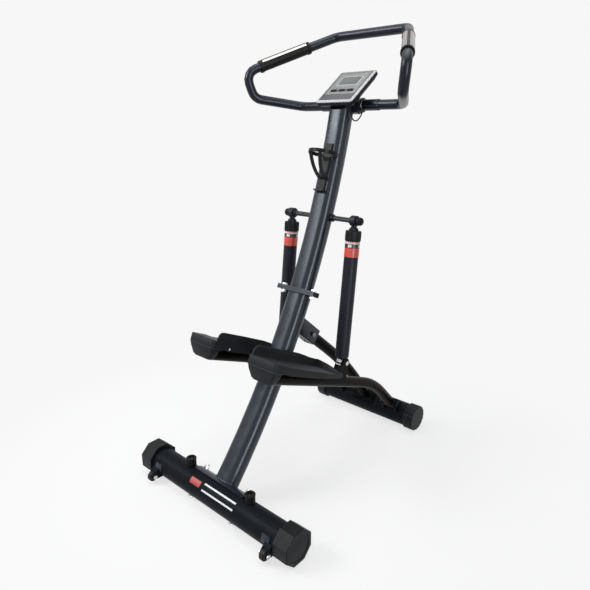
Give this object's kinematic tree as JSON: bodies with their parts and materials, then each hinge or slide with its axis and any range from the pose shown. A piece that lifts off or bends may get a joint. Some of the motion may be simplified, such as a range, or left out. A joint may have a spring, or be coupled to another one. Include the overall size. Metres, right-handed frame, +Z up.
{
  "type": "stair stepper",
  "caption": "Stair stepper with a bowed post, hinged foot plates on tube arms, hydraulic dampers from a crossrod, closed handlebar loop, console and bottle cage.",
  "frame": {"origin": "on the floor, below the middle of the machine's overall box", "axes": "+X to the user's right, +Y forward from the rear stabiliser to the front one, +Z up"},
  "size_m": [0.575, 0.8106, 1.2422],
  "materials": {
    "post_paint": "satin",
    "tube_paint": "satin",
    "strut_paint": "satin",
    "arm_paint": "satin",
    "moulded_plastic": "matte",
    "pedal_plastic": "matte",
    "rubber": "matte",
    "damper_paint": "satin",
    "bright_steel": "polished",
    "dark_steel": "satin",
    "grip_plastic": "matte",
    "console_silver": "satin",
    "display_grey": "gloss",
    "key_plastic": "satin"
  },
  "bodies": {
    "frame": {"battery_door": "moulded_plastic", "bottle_cage": "moulded_plastic", "bumper_left": "rubber", "bumper_right": "rubber", "console_bezel": "console_silver", "console_bracket": "dark_steel", "console_housing": "moulded_plastic", "crossrod": "dark_steel", "crossrod_cap_left": "moulded_plastic", "crossrod_cap_right": "moulded_plastic", "display": "display_grey", "flange_bolt_left": "bright_steel", "flange_bolt_right": "bright_steel", "front_cap_left": "rubber", "front_cap_right": "rubber", "front_stabiliser": "tube_paint", "front_strut": "strut_paint", "grip_left": "grip_plastic", "grip_right": "grip_plastic", "handlebar": "tube_paint", "handlebar_clamp": "moulded_plastic", "lower_post": "post_paint", "pivot_bolt_left": "bright_steel", "pivot_bolt_right": "bright_steel", "pulse_cable": "rubber", "pulse_plate_left": "bright_steel", "pulse_plate_right": "bright_steel", "rear_stabiliser": "tube_paint", "saddle_bolt_head_left": "bright_steel", "saddle_bolt_head_right": "bright_steel", "saddle_nut_left": "bright_steel", "saddle_nut_right": "bright_steel", "strut_bolt": "dark_steel", "upper_post": "post_paint", "wheel_axle_left": "bright_steel", "wheel_axle_right": "bright_steel", "wheel_bracket_left": "tube_paint", "wheel_bracket_right": "tube_paint"},
    "pedal_right": {"pedal_arm_right": "arm_paint", "pedal_tray_right": "pedal_plastic", "heel_block_right": "pedal_plastic", "lower_pin_right": "bright_steel"},
    "damper_right": {"damper_cylinder_right": "damper_paint"},
    "rod_right": {"piston_rod_right": "bright_steel"},
    "knob_right": {"adjuster_knob_right": "moulded_plastic"},
    "rear_cap_right": {"rear_cap_right": "rubber"},
    "wheel_right": {"transport_wheel_right": "moulded_plastic"},
    "pedal_left": {"pedal_arm_left": "arm_paint", "pedal_tray_left": "pedal_plastic", "heel_block_left": "pedal_plastic", "lower_pin_left": "bright_steel"},
    "damper_left": {"damper_cylinder_left": "damper_paint"},
    "rod_left": {"piston_rod_left": "bright_steel"},
    "knob_left": {"adjuster_knob_left": "moulded_plastic"},
    "rear_cap_left": {"rear_cap_left": "rubber"},
    "wheel_left": {"transport_wheel_left": "moulded_plastic"},
    "key_left": {"key_left": "key_plastic"},
    "key_middle": {"key_middle": "key_plastic"},
    "key_right": {"key_right": "key_plastic"}
  },
  "joints": [
    {"name": "pedal_right_hinge", "type": "hinge", "parent": "frame", "child": "pedal_right", "pos_m": [0.112, 0.32805, 0.087], "axis": [1, 0, 0], "range_deg": [0, 24.2], "stiffness_Nm_per_rad": 25, "springref_deg": -45.84},
    {"name": "damper_right_swing", "type": "hinge", "parent": "frame", "child": "damper_right", "pos_m": [0.112, 0.08555, 0.732], "axis": [1, 0, 0], "range_deg": [-6.4, 0.3]},
    {"name": "rod_right_slide", "type": "slide", "parent": "damper_right", "child": "rod_right", "axis": [0, -0.1049, -0.9945], "range_m": [0, 0.147]},
    {"name": "knob_right_turn", "type": "hinge", "parent": "damper_right", "child": "knob_right", "pos_m": [0.112, 0.08132, 0.69192], "axis": [0, 0.1049, 0.9945], "range_deg": [-150, 150]},
    {"name": "rear_cap_right_turn", "type": "hinge", "parent": "frame", "child": "rear_cap_right", "pos_m": [0.265, -0.33995, 0.0414], "axis": [1, 0, 0], "range_deg": [-180, 180]},
    {"name": "wheel_right_spin", "type": "hinge", "parent": "frame", "child": "wheel_right", "pos_m": [0.224, -0.39095, 0.0225], "axis": [1, 0, 0], "continuous": true},
    {"name": "pedal_left_hinge", "type": "hinge", "parent": "frame", "child": "pedal_left", "pos_m": [-0.112, 0.32805, 0.087], "axis": [1, 0, 0], "range_deg": [0, 24.2], "stiffness_Nm_per_rad": 25, "springref_deg": -45.84},
    {"name": "damper_left_swing", "type": "hinge", "parent": "frame", "child": "damper_left", "pos_m": [-0.112, 0.08555, 0.732], "axis": [1, 0, 0], "range_deg": [-6.4, 0.3]},
    {"name": "rod_left_slide", "type": "slide", "parent": "damper_left", "child": "rod_left", "axis": [0, -0.1049, -0.9945], "range_m": [0, 0.147]},
    {"name": "knob_left_turn", "type": "hinge", "parent": "damper_left", "child": "knob_left", "pos_m": [-0.112, 0.08132, 0.69192], "axis": [0, 0.1049, 0.9945], "range_deg": [-150, 150]},
    {"name": "rear_cap_left_turn", "type": "hinge", "parent": "frame", "child": "rear_cap_left", "pos_m": [-0.265, -0.33995, 0.0414], "axis": [1, 0, 0], "range_deg": [-180, 180]},
    {"name": "wheel_left_spin", "type": "hinge", "parent": "frame", "child": "wheel_left", "pos_m": [-0.224, -0.39095, 0.0225], "axis": [1, 0, 0], "continuous": true},
    {"name": "key_left_press", "type": "slide", "parent": "frame", "child": "key_left", "axis": [0, 0.5864, -0.81], "range_m": [0, 0.0012], "stiffness_N_per_m": 400, "springref_m": -0.002},
    {"name": "key_middle_press", "type": "slide", "parent": "frame", "child": "key_middle", "axis": [0, 0.5864, -0.81], "range_m": [0, 0.0012], "stiffness_N_per_m": 400, "springref_m": -0.002},
    {"name": "key_right_press", "type": "slide", "parent": "frame", "child": "key_right", "axis": [0, 0.5864, -0.81], "range_m": [0, 0.0012], "stiffness_N_per_m": 400, "springref_m": -0.002}
  ],
  "couplings": [
    {"joint": "damper_right_swing", "follows": "pedal_right_hinge", "ratio": -0.2571},
    {"joint": "rod_right_slide", "follows": "pedal_right_hinge", "m_per_rad": 0.3431},
    {"joint": "damper_left_swing", "follows": "pedal_left_hinge", "ratio": -0.2571},
    {"joint": "rod_left_slide", "follows": "pedal_left_hinge", "m_per_rad": 0.3431}
  ]
}
